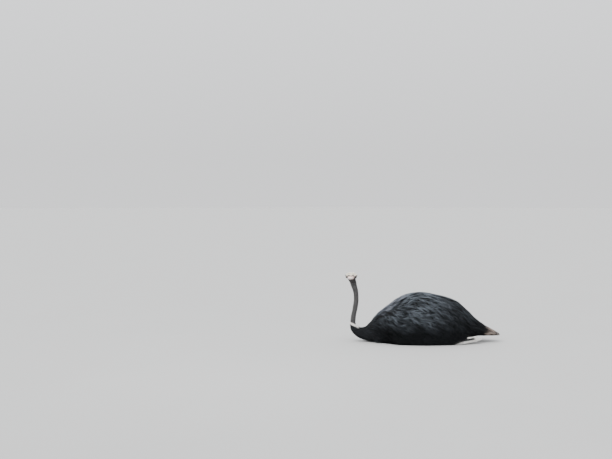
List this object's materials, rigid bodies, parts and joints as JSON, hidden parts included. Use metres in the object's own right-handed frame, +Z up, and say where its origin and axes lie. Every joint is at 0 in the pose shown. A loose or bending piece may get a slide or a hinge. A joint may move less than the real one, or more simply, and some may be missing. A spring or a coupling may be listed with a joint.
{
  "type": "ostrich",
  "caption": "Male common ostrich at life size, sitting with folded legs, its neck upright and its head turned to its left; a still figure.",
  "frame": {"origin": "on the ground under the middle of the sitting bird's box", "axes": "+X from the neck towards the tail, +Y towards the bird's right side, +Z up; the bird faces -X and its bill points to -Y"},
  "size_m": [1.7593, 0.6608, 0.79],
  "materials": {
    "black_plumage": "loose black plumes with a faint bluish sheen",
    "white_plumes": "soft white plumes",
    "buff_tail": "soiled white to buff tail plumes",
    "bare_skin": "grey wrinkled skin with sparse down",
    "bill_horn": "pale pinkish horn",
    "claw_horn": "dark horn",
    "eye": "wet dark brown"
  },
  "bodies": {
    "root": {"bill_lower": "bill_horn", "bill_upper": "bill_horn", "claw_inner_left": "claw_horn", "claw_inner_right": "claw_horn", "claw_outer_left": "claw_horn", "claw_outer_right": "claw_horn", "eye_left": "eye", "eye_right": "eye", "head": "bare_skin", "neck_base": "black_plumage", "neck_lower": "bare_skin", "neck_upper": "bare_skin", "shank_left": "bare_skin", "shank_right": "bare_skin", "tail": "buff_tail", "tarsus_left": "bare_skin", "tarsus_right": "bare_skin", "toe_inner_left": "bare_skin", "toe_inner_right": "bare_skin", "toe_outer_left": "bare_skin", "toe_outer_right": "bare_skin", "trunk": "black_plumage", "wing_left": "black_plumage", "wing_plumes_left": "white_plumes", "wing_plumes_right": "white_plumes", "wing_right": "black_plumage"}
  },
  "joints": []
}
